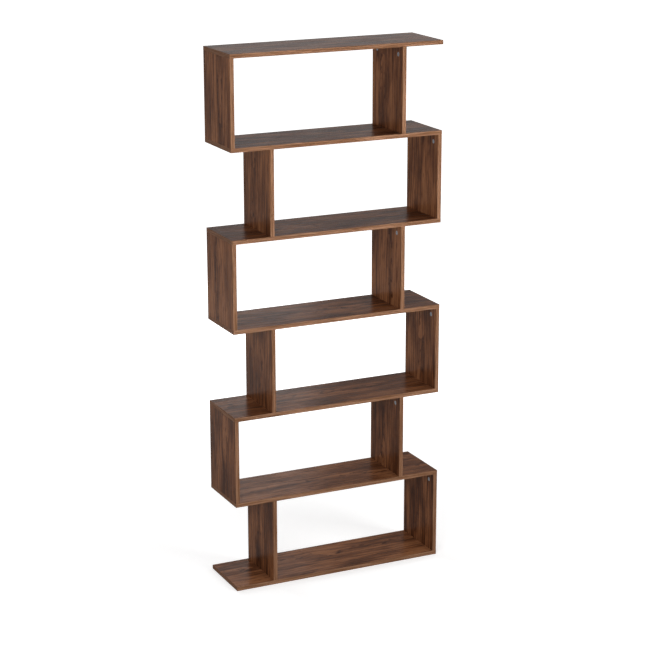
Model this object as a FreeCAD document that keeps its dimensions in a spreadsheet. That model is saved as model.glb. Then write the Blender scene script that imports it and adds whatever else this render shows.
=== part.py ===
"""Open zigzag bookcase of banded particleboard, put together with cam fittings and screws.

Frame: +Z up, front towards -Y, origin on the floor under the middle of the lowest shelf.
Seven full-width shelves carry six tiers. Each tier has two uprights: one flush with an end of the
shelves and one set in from the other end, on alternate sides from tier to tier.
"""

import FreeCAD, Part
import os

import Sketcher

TIERS = 6
SHELVES = TIERS + 1

# Driving dimensions in millimetres: name, value, what it measures
DRIVING_SIZES = (
    ("shelf_length", 800, "shelf, end to end over its bands"),
    ("shelf_depth", 230, "shelf and upright, front to back over their bands"),
    ("board_thickness", 15, "shelf and upright board"),
    ("clear_height", 300, "from the top of one shelf to the underside of the next"),
    ("set_in", 142, "from a shelf's end to the outer face of the upright that is set in"),
    ("band_thickness", 1, "edge band"),
    ("band_bevel", 0.5, "bevel along the two outer edges of a band"),
    ("fitting_inset", 35, "from the front or rear edge to the nearest fitting's axis"),
    ("fitting_gap", 0.2, "radial clearance of a fitting in its bore"),
    ("end_gap", 0.3, "clearance past the end of a fitting in a blind bore"),
    ("cam_drop", 29, "from an upright's top end down to a cam's axis"),
    ("cam_diameter", 15, "cam disc"),
    ("cam_height", 12, "cam disc, face to back"),
    ("cam_recess", 0.2, "cam face below the upright's inner face"),
    ("cam_core_radius", 2.2, "cam's solid core, inside the chamber for the bolt head"),
    ("cam_lip", 2, "cam's rim, which the bolt head hooks behind"),
    ("drive_slot_length", 10, "slot in the cam's face for a driver"),
    ("drive_slot_width", 1.6, "slot in the cam's face for a driver"),
    ("drive_slot_depth", 2.2, "slot in the cam's face for a driver"),
    ("bolt_thread_diameter", 6, "cam bolt in the shelf"),
    ("bolt_thread_length", 10, "cam bolt in the shelf"),
    ("bolt_shaft_diameter", 7, "cam bolt from the shelf's underside to its neck"),
    ("bolt_neck_diameter", 3.8, "cam bolt's neck, in the cam's slot"),
    ("bolt_head_diameter", 6.8, "cam bolt's head, in the cam's chamber"),
    ("bolt_head_height", 2.8, "cam bolt's head"),
    ("dowel_diameter", 8, "wooden dowel"),
    ("dowel_length", 30, "wooden dowel"),
    ("dowel_in_shelf", 9, "length of a dowel that stands in the shelf above"),
    ("screw_length", 50, "connecting screw, head to tip"),
    ("screw_head_diameter", 10, "countersunk head"),
    ("screw_head_recess", 0.3, "head's face inside the shelf's underside"),
    ("screw_shank_diameter", 7, "plain shank, in the shelf"),
    ("screw_core_diameter", 5, "threaded length, in the upright"),
    ("screw_socket_flats", 4, "hexagon socket, across flats"),
    ("screw_socket_depth", 3, "hexagon socket"),
)

# Repeated fittings and their bores have flat sides, few enough to keep the whole set light
FITTING_SIDES = 8
BOLT_SIDES = 6
CAM_SIDES = 12
COUNTERSINK_TAPER = -45

# Sizes and places that follow from the driving ones: name, formula, what it measures
WORKED_SIZES = (
    ("tier_pitch", "sizes.clear_height + sizes.board_thickness", "from shelf to shelf"),
    ("core_length", "sizes.shelf_length - 2 * sizes.band_thickness", "shelf board without bands"),
    ("core_depth", "sizes.shelf_depth - 2 * sizes.band_thickness", "boards without bands"),
    ("outer_width", "sizes.shelf_length - sizes.set_in", "over both uprights of a tier"),
    ("half_clear", "outer_width / 2 - sizes.board_thickness", "tier's middle to inner faces"),
    ("tier_shift", "sizes.set_in / 2", "tier's middle from the shelves' middle"),
    ("board_middle", "sizes.board_thickness / 2", "board's face to its middle"),
    ("upright_axis", "half_clear + board_middle", "tier's middle to an upright's middle"),
    ("fitting_y", "sizes.shelf_depth / 2 - sizes.fitting_inset", "fitting axes from the middle"),
    ("cam_level", "sizes.clear_height - sizes.cam_drop", "cam axis above the shelf below"),
    ("cam_radius", "sizes.cam_diameter / 2", "cam disc, to its corners"),
    ("cam_face", "half_clear + sizes.cam_recess", "tier's middle to the cams' faces"),
    ("chamber_radius", "cam_radius - sizes.cam_lip", "cam's chamber, outer wall"),
    ("chamber_half", "sizes.bolt_head_diameter / 2 + sizes.fitting_gap", "chamber, half width"),
    ("slot_half", "sizes.bolt_neck_diameter / 2 + sizes.fitting_gap", "cam's slot, half width"),
    ("head_top", "sizes.cam_drop - chamber_radius + sizes.fitting_gap", "shelf to bolt head"),
    ("neck_top", "sizes.cam_drop - cam_radius - sizes.end_gap", "shelf to bolt neck"),
    ("flat_share", f"cos(180 deg / {FITTING_SIDES})", "flats over corners, of a fitting"),
    ("bore_radius", "sizes.screw_shank_diameter / 2 + sizes.fitting_gap", "screw's bore"),
    ("cone_height", "(sizes.screw_head_diameter - sizes.screw_shank_diameter) / 2 * flat_share",
     "countersunk head"),
    ("mouth_radius", "sizes.screw_head_diameter / 2 + sizes.screw_head_recess / flat_share"
     " + 2 * sizes.fitting_gap", "countersink at the underside"),
    ("mouth_depth", "(mouth_radius - bore_radius) * flat_share", "countersink"),
    ("shank_top", "sizes.board_thickness - sizes.end_gap", "top of a screw's plain shank"),
    ("screw_tip", "sizes.screw_head_recess + sizes.screw_length", "screw's tip over the underside"),
)

CLEAR_OF_ZERO = 1e-9
ON_EDGE = 1e-6

document = FreeCAD.newDocument("bookcase")
nodes = []
cuts = []


def fill_sheet(name, rows, prefix):
    """Write one row for each size: its name, its value or formula and what it measures."""
    sheet = document.addObject("Spreadsheet::Sheet", name)
    for row, (alias, value, meaning) in enumerate(rows, start=1):
        sheet.set(f"A{row}", alias)
        sheet.set(f"B{row}", f"{prefix}{value}")
        sheet.setAlias(f"B{row}", alias)
        sheet.set(f"C{row}", meaning)
    document.recompute()
    return sheet


sizes = fill_sheet("sizes", DRIVING_SIZES, "")
worked = fill_sheet("worked", WORKED_SIZES, "=")


def value_of(expression):
    """What an expression on the sheets comes to, in millimetres."""
    found = worked.evalExpression(expression)
    return float(getattr(found, "Value", found))


def signed(side, expression):
    """An expression, or its negative on the other side."""
    return expression if side > 0 else f"-({expression})"


def origin_part(body, role):
    """A body's own origin plane or axis."""
    return next(feature for feature in body.Origin.OriginFeatures if feature.Role == role)


def place(item, x="0", y="0", z="0", half_turn=False):
    """Place a sub-part by expressions, turned half round about Z if asked."""
    turn = FreeCAD.Rotation(FreeCAD.Vector(0, 0, 1), 180 if half_turn else 0)
    item.Placement = FreeCAD.Placement(FreeCAD.Vector(), turn)
    for axis, expression in (("x", x), ("y", y), ("z", z)):
        item.setExpression(f"Placement.Base.{axis}", expression)


def new_body(label):
    """An empty body, whose label names its node."""
    body = document.addObject("PartDesign::Body", label)
    body.Label = label
    return body


def new_sketch(body, name, plane, offset=("0", "0", "0")):
    """A sketch on one of a body's origin planes, its origin moved by three expressions."""
    sketch = body.newObject("Sketcher::SketchObject", name)
    sketch.AttachmentSupport = (origin_part(body, plane), [""])
    sketch.MapMode = "FlatFace"
    for axis, expression in zip("xyz", offset):
        sketch.setExpression(f"AttachmentOffset.Base.{axis}", expression)
    return sketch


def pin(sketch, kind, geometry, point, expression):
    """Hold one coordinate of a sketch point at an expression."""
    distance = value_of(expression)
    if abs(distance) < CLEAR_OF_ZERO:
        axis = -2 if kind == "DistanceX" else -1
        sketch.addConstraint(Sketcher.Constraint("PointOnObject", geometry, point, axis))
        return
    if distance > 0:
        rule = Sketcher.Constraint(kind, -1, 1, geometry, point, distance)
    else:
        rule = Sketcher.Constraint(kind, geometry, point, -1, 1, -distance)
        expression = f"-({expression})"
    index = sketch.addConstraint(rule)
    sketch.setExpression(f"Constraints[{index}]", expression)


def draw_outline(sketch, points):
    """A closed outline through points, each a pair of expressions; square corners share them."""
    corners = [FreeCAD.Vector(value_of(x), value_of(y), 0) for x, y in points]
    count = len(points)
    first = sketch.GeometryCount
    for i in range(count):
        sketch.addGeometry(Part.LineSegment(corners[i], corners[(i + 1) % count]), False)
    for i in range(count):
        rule = Sketcher.Constraint("Coincident", first + i, 2, first + (i + 1) % count, 1)
        sketch.addConstraint(rule)
    for i, (x, y) in enumerate(points):
        for kind, run, own, before, after in (
            ("DistanceX", "Vertical", x, points[i - 1][0], points[(i + 1) % count][0]),
            ("DistanceY", "Horizontal", y, points[i - 1][1], points[(i + 1) % count][1]),
        ):
            closes = i == count - 1 and own == after
            if i and own == before:
                sketch.addConstraint(Sketcher.Constraint(run, first + i - 1))
            elif closes:
                sketch.addConstraint(Sketcher.Constraint(run, first + i))
            else:
                pin(sketch, kind, first + i, 1, own)


def draw_rectangle(sketch, left, right, low, high):
    """A rectangle between four expressions."""
    draw_outline(sketch, [(left, low), (right, low), (right, high), (left, high)])


def draw_polygon(sketch, radius, sides):
    """A regular polygon round the sketch's origin, through an expression for its radius."""
    turns = [360 / sides * i for i in range(sides)]
    draw_outline(sketch, [(f"{radius} * cos({a} deg)", f"{radius} * sin({a} deg)") for a in turns])


def pad(body, sketch, name, length, midplane=False, taper=0):
    """Pad a sketch along its normal, or half each way."""
    feature = body.newObject("PartDesign::Pad", name)
    feature.Profile = sketch
    feature.setExpression("Length", length)
    feature.Midplane = midplane
    feature.TaperAngle = taper
    return feature


def attach(feature, body, plane, offset):
    """Attach a feature to one of its body's origin planes, moved by three expressions."""
    feature.AttachmentSupport = (origin_part(body, plane), [""])
    feature.MapMode = "FlatFace"
    for axis, expression in zip("xyz", offset):
        feature.setExpression(f"AttachmentOffset.Base.{axis}", expression)


def prism(body, name, plane, offset, diameter, height, sides=FITTING_SIDES):
    """Add a flat-sided pin that rises from a plane."""
    feature = body.newObject("PartDesign::AdditivePrism", name)
    attach(feature, body, plane, offset)
    feature.Polygon = sides
    feature.setExpression("Circumradius", f"({diameter}) / 2")
    feature.setExpression("Height", height)
    return feature


def bore(body, name, plane, offset, diameter, height, sides=FITTING_SIDES):
    """Cut a flat-sided bore that rises from a plane."""
    feature = body.newObject("PartDesign::SubtractivePrism", name)
    attach(feature, body, plane, offset)
    feature.Polygon = sides
    feature.setExpression("Circumradius", f"({diameter}) / 2")
    feature.setExpression("Height", height)
    cuts.append(feature)
    return feature


def slot(body, name, corner, extent):
    """Cut a straight-sided slot from its lowest corner, by expressions along X, Y and Z."""
    feature = body.newObject("PartDesign::SubtractiveBox", name)
    attach(feature, body, "XY_Plane", corner)
    for side, expression in zip(("Length", "Width", "Height"), extent):
        feature.setExpression(side, expression)
    cuts.append(feature)


def new_pattern(body, kind, name):
    """A pattern or mirror, begun once the shape that it repeats is computed."""
    document.recompute()
    feature = body.newObject(f"PartDesign::{kind}", name)
    body.Tip = feature
    return feature


def repeat(body, name, originals, along_y=None, along_x=None):
    """Repeat features, or the whole shape if none are given, once along Y, along X or both."""
    feature = new_pattern(body, "LinearPattern", name)
    if originals:
        feature.Originals = originals
    else:
        feature.TransformMode = "Whole shape"
    steps = [step for step in (("Y_Axis", along_y), ("X_Axis", along_x)) if step[1]]
    for suffix, (axis, pitch) in zip(("", "2"), steps):
        setattr(feature, f"Direction{suffix}", (origin_part(body, axis), [""]))
        feature.setExpression(f"Length{suffix}", pitch)
        setattr(feature, f"Occurrences{suffix}", 2)


def mirror(body, name, plane):
    """Repeat a body's whole shape on the other side of one of its origin planes."""
    feature = new_pattern(body, "Mirrored", name)
    feature.TransformMode = "Whole shape"
    feature.MirrorPlane = (origin_part(body, plane), [""])


def turn_to_other_upright(body, name):
    """Repeat a body's whole shape half a turn round, at the tier's other upright."""
    feature = new_pattern(body, "PolarPattern", name)
    feature.TransformMode = "Whole shape"
    feature.Axis = (origin_part(body, "Z_Axis"), [""])
    feature.Angle = 360
    feature.Occurrences = 2


def bevel_edges(body, base, name, wanted):
    """Bevel the edges of a strip that a test picks, by no more than the band allows."""
    document.recompute()
    names = [f"Edge{i}" for i, edge in enumerate(base.Shape.Edges, start=1) if wanted(edge)]
    feature = body.newObject("PartDesign::Chamfer", name)
    feature.Base = (base, names)
    feature.setExpression("Size", "min(sizes.band_bevel; 0.8 * sizes.band_thickness)")
    body.Tip = feature


def lies_at(edge, axis, level):
    """Whether both ends of an edge lie at one level along an axis."""
    return all(abs(vertex.Point[axis] - level) < ON_EDGE for vertex in edge.Vertexes)


def runs_along(edge, axis):
    """Whether an edge is parallel to an axis."""
    start, end = (vertex.Point for vertex in (edge.Vertexes[0], edge.Vertexes[-1]))
    return all(abs(start[i] - end[i]) < ON_EDGE for i in range(3) if i != axis)


def outer_edges(axis, outward, level):
    """A test for the edges along one axis that lie on a strip's outer face."""
    return lambda edge: runs_along(edge, axis) and lies_at(edge, outward, level)


def side_of(tier):
    """Which way a tier is shifted: odd tiers to the right, even tiers to the left."""
    return 1 if tier % 2 else -1


def tier_middle(tier):
    """Expression for the X of a tier's middle."""
    return signed(side_of(tier), "worked.tier_shift")


def shelf_underside(number):
    """Expression for the height of a shelf's underside, the lowest shelf being number 1."""
    return f"{number - 1} * worked.tier_pitch"


def tier_floor(tier):
    """Expression for the height of a tier's floor, the top of the shelf under it."""
    return f"{shelf_underside(tier)} + sizes.board_thickness"


FRONT_TO_BACK = "2 * worked.fitting_y"
ACROSS_TIER = "2 * worked.upright_axis"


def wide(diameter):
    """The bore for a fitting: its diameter and the clearance all round."""
    return f"{diameter} + 2 * sizes.fitting_gap"


def drill_for_screws(body, tier):
    """Countersunk holes from a shelf's underside, for the screws into the tier above it."""
    x = f"{tier_middle(tier)} - worked.upright_axis"
    place_of = (x, "-worked.fitting_y", "0")
    through = "sizes.board_thickness"
    hole = bore(body, "screw_hole", "XY_Plane", place_of, "2 * worked.bore_radius", through)
    sketch = new_sketch(body, "countersink_outline", "XY_Plane", place_of)
    draw_polygon(sketch, "worked.mouth_radius", FITTING_SIDES)
    countersink = body.newObject("PartDesign::Pocket", "countersink")
    countersink.Profile = sketch
    countersink.setExpression("Length", "worked.mouth_depth")
    countersink.Reversed = True
    countersink.TaperAngle = COUNTERSINK_TAPER
    cuts.append(countersink)
    repeat(body, "screw_holes", [hole, countersink], FRONT_TO_BACK, ACROSS_TIER)


def drill_underside(body, tier):
    """Blind bores in a shelf's underside, for the bolts and dowels of the tier below it."""
    x = f"{tier_middle(tier)} - worked.upright_axis"
    thread = wide("sizes.bolt_thread_diameter")
    depth = "sizes.bolt_thread_length + sizes.end_gap"
    bolt_place = (x, "-worked.fitting_y", "0")
    bolt = bore(body, "bolt_bore", "XY_Plane", bolt_place, thread, depth, BOLT_SIDES)
    repeat(body, "bolt_bores", [bolt], FRONT_TO_BACK, ACROSS_TIER)
    depth = "sizes.dowel_in_shelf + sizes.end_gap"
    dowel = bore(body, "dowel_bore", "XY_Plane", (x, "0", "0"), wide("sizes.dowel_diameter"), depth)
    repeat(body, "dowel_bores", [dowel], along_x=ACROSS_TIER)


def shelf(number):
    """A full-width shelf board, drilled for the tier above it and the tier below it."""
    body = new_body(f"shelf_{number}")
    sketch = new_sketch(body, "board_outline", "XY_Plane")
    half_length = "worked.core_length / 2"
    half_depth = "worked.core_depth / 2"
    draw_rectangle(sketch, f"-{half_length}", half_length, f"-{half_depth}", half_depth)
    pad(body, sketch, "board", "sizes.board_thickness")
    if number < SHELVES:
        drill_for_screws(body, number)
    if number > 1:
        drill_underside(body, number - 1)
    place(body, z=shelf_underside(number))
    return body


def shelf_long_bands(number):
    """The bands along a shelf's front and rear edges, over its whole length."""
    body = new_body(f"shelf_{number}_long_bands")
    sketch = new_sketch(body, "section", "YZ_Plane")
    front = "-sizes.shelf_depth / 2"
    draw_rectangle(sketch, front, "-worked.core_depth / 2", "0", "sizes.board_thickness")
    strip = pad(body, sketch, "front_band", "sizes.shelf_length", midplane=True)
    bevel_edges(body, strip, "bevelled", outer_edges(0, 1, value_of(front)))
    mirror(body, "rear_band", "XZ_Plane")
    return body


def shelf_end_bands(number):
    """The bands on a shelf's two ends, between the long ones."""
    body = new_body(f"shelf_{number}_end_bands")
    sketch = new_sketch(body, "section", "XZ_Plane")
    end = "-sizes.shelf_length / 2"
    draw_rectangle(sketch, end, "-worked.core_length / 2", "0", "sizes.board_thickness")
    strip = pad(body, sketch, "left_band", "worked.core_depth", midplane=True)
    bevel_edges(body, strip, "bevelled", outer_edges(1, 0, value_of(end)))
    mirror(body, "right_band", "YZ_Plane")
    return body


def shelf_edge_bands(number):
    """All four bands of one shelf, each a solid of its own."""
    group = document.addObject("Part::Compound", f"shelf_{number}_edge_bands")
    group.Label = f"shelf_{number}_edge_bands"
    group.Links = [shelf_long_bands(number), shelf_end_bands(number)]
    place(group, z=shelf_underside(number))
    return group


def upright(tier, side):
    """An upright board. It is drawn from its inner face outwards, and the left one is turned."""
    body = new_body(f"tier_{tier}_{'right' if side > 0 else 'left'}_upright")
    outline = new_sketch(body, "board_outline", "XY_Plane")
    half_depth = "worked.core_depth / 2"
    draw_rectangle(outline, "0", "sizes.board_thickness", f"-{half_depth}", half_depth)
    pad(body, outline, "board", "sizes.clear_height")

    middle = "worked.board_middle"
    cam_width = wide("sizes.cam_diameter")
    cam_depth = "sizes.cam_recess + sizes.cam_height + sizes.end_gap"
    bolt_width = wide("sizes.bolt_shaft_diameter")
    screw_width = wide("sizes.screw_core_diameter")
    screw_depth = "worked.screw_tip - sizes.board_thickness + sizes.end_gap"
    for end, y in (("front", "-worked.fitting_y"), ("rear", "worked.fitting_y")):
        level = "worked.cam_level"
        bore(body, f"{end}_cam_pocket", "YZ_Plane", (y, level, "0"), cam_width, cam_depth, CAM_SIDES)
        bore(body, f"{end}_bolt_bore", "XY_Plane", (middle, y, level), bolt_width, "sizes.cam_drop",
             BOLT_SIDES)
        bore(body, f"{end}_screw_pilot", "XY_Plane", (middle, y, "0"), screw_width, screw_depth)
    dowel_depth = "sizes.dowel_length - sizes.dowel_in_shelf + sizes.end_gap"
    dowel_place = (middle, "0", f"sizes.clear_height - ({dowel_depth})")
    bore(body, "dowel_bore", "XY_Plane", dowel_place, wide("sizes.dowel_diameter"), dowel_depth)
    inner_face = signed(side, "worked.half_clear")
    place(body, f"{tier_middle(tier)} + {inner_face}", "0", tier_floor(tier), side < 0)
    return body


def upright_edge_bands(tier):
    """The front and rear bands of a tier's two uprights."""
    body = new_body(f"tier_{tier}_upright_edge_bands")
    sketch = new_sketch(body, "section", "XY_Plane")
    front = "-sizes.shelf_depth / 2"
    outer = "worked.outer_width / 2"
    draw_rectangle(sketch, "worked.half_clear", outer, front, "-worked.core_depth / 2")
    strip = pad(body, sketch, "front_band", "sizes.clear_height")
    bevel_edges(body, strip, "bevelled", outer_edges(2, 1, value_of(front)))
    mirror(body, "rear_band", "XZ_Plane")
    turn_to_other_upright(body, "other_upright")
    place(body, tier_middle(tier), "0", tier_floor(tier))
    return body


def cam_discs(tier):
    """A tier's four cam discs, locked: a slot and a chamber, open at one side, hold the bolt."""
    body = new_body(f"tier_{tier}_cam_discs")
    front = "-worked.fitting_y"
    face = (front, "worked.cam_level", "worked.cam_face")
    prism(body, "disc", "YZ_Plane", face, "sizes.cam_diameter", "sizes.cam_height", CAM_SIDES)
    bolt_x = "worked.half_clear + worked.board_middle"
    core_top = "worked.cam_level + sizes.cam_core_radius"
    for name, half, height in (
        ("bolt_slot", "worked.slot_half", "worked.cam_radius"),
        ("head_chamber", "worked.chamber_half", "worked.chamber_radius - sizes.cam_core_radius"),
    ):
        corner = (f"{bolt_x} - {half}", f"{front} - {half}", core_top)
        slot(body, name, corner, (f"2 * {half}", f"{half} + worked.cam_radius", height))
    half_length = "sizes.drive_slot_length / 2"
    half_width = "sizes.drive_slot_width / 2"
    corner = ("worked.cam_face", f"{front} - {half_length}", f"worked.cam_level - {half_width}")
    extent = ("sizes.drive_slot_depth", "sizes.drive_slot_length", "sizes.drive_slot_width")
    slot(body, "driver_slot", corner, extent)
    repeat(body, "rear_cam", [], FRONT_TO_BACK)
    turn_to_other_upright(body, "other_upright")
    place(body, tier_middle(tier), "0", tier_floor(tier))
    return body


def stack(body, y, sections, sides=FITTING_SIDES):
    """Pins one on another along an upright's middle: name, diameter, lower and upper level."""
    for name, diameter, low, high in sections:
        offset = ("worked.upright_axis", y, low)
        prism(body, name, "XY_Plane", offset, diameter, f"{high} - ({low})", sides)


def cam_bolts(tier):
    """A tier's four cam bolts: thread in the shelf above, head in the cam's chamber."""
    body = new_body(f"tier_{tier}_cam_bolts")
    top = "sizes.clear_height"
    head_top = f"{top} - worked.head_top"
    neck_top = f"{top} - worked.neck_top"
    stack(body, "-worked.fitting_y", (
        ("head", "sizes.bolt_head_diameter", f"{head_top} - sizes.bolt_head_height", head_top),
        ("neck", "sizes.bolt_neck_diameter", head_top, neck_top),
        ("shaft", "sizes.bolt_shaft_diameter", neck_top, top),
        ("thread", "sizes.bolt_thread_diameter", top, f"{top} + sizes.bolt_thread_length"),
    ), BOLT_SIDES)
    repeat(body, "rear_bolt", [], FRONT_TO_BACK)
    mirror(body, "other_upright", "YZ_Plane")
    place(body, tier_middle(tier), "0", tier_floor(tier))
    return body


def dowels(tier):
    """A tier's two dowels, one in the middle of each upright's top end."""
    body = new_body(f"tier_{tier}_dowels")
    high = "sizes.clear_height + sizes.dowel_in_shelf"
    stack(body, "0", (("dowel", "sizes.dowel_diameter", f"{high} - sizes.dowel_length", high),))
    mirror(body, "other_upright", "YZ_Plane")
    place(body, tier_middle(tier), "0", tier_floor(tier))
    return body


def screws(tier):
    """A tier's four connecting screws, up through the shelf below into the uprights."""
    body = new_body(f"tier_{tier}_screws")
    front = "-worked.fitting_y"
    head_place = ("worked.upright_axis", front, "sizes.screw_head_recess")
    head = new_sketch(body, "head_outline", "XY_Plane", head_place)
    draw_polygon(head, "sizes.screw_head_diameter / 2", FITTING_SIDES)
    pad(body, head, "countersunk_head", "worked.cone_height", taper=COUNTERSINK_TAPER)
    cone_top = "sizes.screw_head_recess + worked.cone_height"
    stack(body, front, (
        ("shank", "sizes.screw_shank_diameter", cone_top, "worked.shank_top"),
        ("threaded_length", "sizes.screw_core_diameter", "worked.shank_top", "worked.screw_tip"),
    ))
    socket = "sizes.screw_socket_flats / cos(30 deg)"
    bore(body, "hexagon_socket", "XY_Plane", head_place, socket, "sizes.screw_socket_depth", 6)
    repeat(body, "rear_screw", [], FRONT_TO_BACK)
    mirror(body, "other_upright", "YZ_Plane")
    place(body, tier_middle(tier), "0", shelf_underside(tier))
    return body


for number in range(1, SHELVES + 1):
    nodes.append((shelf(number), 1))
    nodes.append((shelf_edge_bands(number), 4))
for tier in range(1, TIERS + 1):
    nodes.append((upright(tier, -1), 1))
    nodes.append((upright(tier, 1), 1))
    nodes.append((upright_edge_bands(tier), 4))
    nodes.append((cam_discs(tier), 4))
    nodes.append((cam_bolts(tier), 4))
    nodes.append((dowels(tier), 2))
    nodes.append((screws(tier), 4))
document.recompute()

for item in document.Objects:
    if "Invalid" in item.State or "Error" in item.State:
        raise ValueError(f"{item.Label} failed: {item.State}")
for cut in cuts:
    if not cut.Shape.Volume < cut.BaseFeature.Shape.Volume - ON_EDGE:
        raise ValueError(f"{cut.Label} cuts nothing")
for node, solids in nodes:
    if node.Shape.isNull() or not node.Shape.isValid():
        raise ValueError(f"{node.Label} has no valid shape")
    if len(node.Shape.Solids) != solids:
        raise ValueError(f"{node.Label} has {len(node.Shape.Solids)} solids, not {solids}")

os.makedirs("parts", exist_ok=True)
for node, _ in nodes:
    node.Shape.exportStep(f"parts/{node.Label}.step")
print(f"{len(nodes)} nodes, {sum(solids for _, solids in nodes)} solids")
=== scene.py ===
"""A tall zigzag bookcase of walnut-decor boards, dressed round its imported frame."""

import logging
import math
from collections.abc import Iterable
from dataclasses import dataclass
from enum import Enum

import bpy
from mathutils import Matrix, Vector


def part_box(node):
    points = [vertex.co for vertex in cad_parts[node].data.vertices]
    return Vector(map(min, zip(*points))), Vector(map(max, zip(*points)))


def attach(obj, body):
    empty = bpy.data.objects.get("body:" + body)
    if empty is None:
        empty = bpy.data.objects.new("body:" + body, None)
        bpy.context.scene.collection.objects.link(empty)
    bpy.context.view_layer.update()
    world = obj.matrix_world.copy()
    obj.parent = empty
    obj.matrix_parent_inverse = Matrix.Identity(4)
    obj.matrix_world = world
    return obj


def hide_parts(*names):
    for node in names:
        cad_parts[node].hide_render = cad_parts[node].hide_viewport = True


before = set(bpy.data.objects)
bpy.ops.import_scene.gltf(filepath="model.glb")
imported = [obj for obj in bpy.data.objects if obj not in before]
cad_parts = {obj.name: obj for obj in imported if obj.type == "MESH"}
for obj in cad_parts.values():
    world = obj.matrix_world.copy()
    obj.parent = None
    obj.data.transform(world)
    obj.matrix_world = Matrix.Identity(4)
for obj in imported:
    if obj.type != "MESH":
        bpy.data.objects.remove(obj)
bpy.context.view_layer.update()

log = logging.getLogger("bookcase")

Colour = tuple[float, float, float]
Triple = tuple[float, float, float]
Span = tuple[float, float]
Socket = bpy.types.NodeSocket
Material = bpy.types.Material
Item = bpy.types.Object

BODY = "root"
TIERS = 6
SHELVES = TIERS + 1
MILLIMETRE = 0.001
IMAGE_SIDE = 645
COLOUR_STEPS = 255
WHITE: Colour = (1.0, 1.0, 1.0)

# What soft noise mostly keeps within.
NOISE_SPAN: Span = (0.3, 0.7)
# Radians that a wave texture of scale 1 turns through in a metre.
WAVE_RADIANS = 20

# Where each group's seeds start, so that no two pieces have the same figure.
SHELF_SEEDS = TIERS
UPRIGHT_SEEDS = 20
SHELF_BAND_SEEDS = 40
UPRIGHT_BAND_SEEDS = 60
DOWEL_SEEDS = 80

# How far a cutter runs past the surface that it opens.
OVERCUT = 1 * MILLIMETRE
# Edges sharper than this get a bevel.
BEVEL_ANGLE = math.radians(35)
# Edges sharper than these stay sharp in the shading of a bevelled piece and of a plain one.
BEVELLED_ANGLE = math.radians(32)
PLAIN_ANGLE = math.radians(30)
# Edges shorter than this are slivers that a bevel leaves.
SLIVER = 0.002 * MILLIMETRE
# A thread's section is a triangle. Its middle stands out of the core by this share of its radius.
SECTION_STAND = 0.4
THREAD_STEPS = 20


class Grain(Enum):
    """The way that a board's or a band's wood figure runs."""

    ALONG_X = "x"
    ALONG_Y = "y"
    ALONG_Z = "z"

    def turn(self) -> Triple:
        """The turn that brings this direction to a pattern's own Z.

        Returns:
            The turns round X, Y and Z, in radians.
        """
        quarter = math.pi / 2
        turns = {Grain.ALONG_X: (0.0, -quarter, 0.0), Grain.ALONG_Y: (quarter, 0.0, 0.0)}
        return turns.get(self, (0.0, 0.0, 0.0))


class Slot(Enum):
    """The record's material slots."""

    WALNUT = "walnut_decor"
    BAND = "edge_band"
    ZINC = "cam_zinc"
    STEEL = "fastener_steel"
    BEECH = "dowel_beech"


def linear(red: int, green: int, blue: int) -> Colour:
    """Linear light of a colour that is written in 0 to 255 steps.

    Args:
        red: Red step.
        green: Green step.
        blue: Blue step.

    Returns:
        The three channels from 0 to 1.
    """
    def channel(step: int) -> float:
        """One channel by the sRGB curve."""
        share = step / COLOUR_STEPS
        return share / 12.92 if share <= 0.04045 else ((share + 0.055) / 1.055) ** 2.4

    return channel(red), channel(green), channel(blue)


def rgba(colour: Colour) -> tuple[float, float, float, float]:
    """A colour with nothing see-through about it."""
    return (*colour, 1.0)


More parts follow.
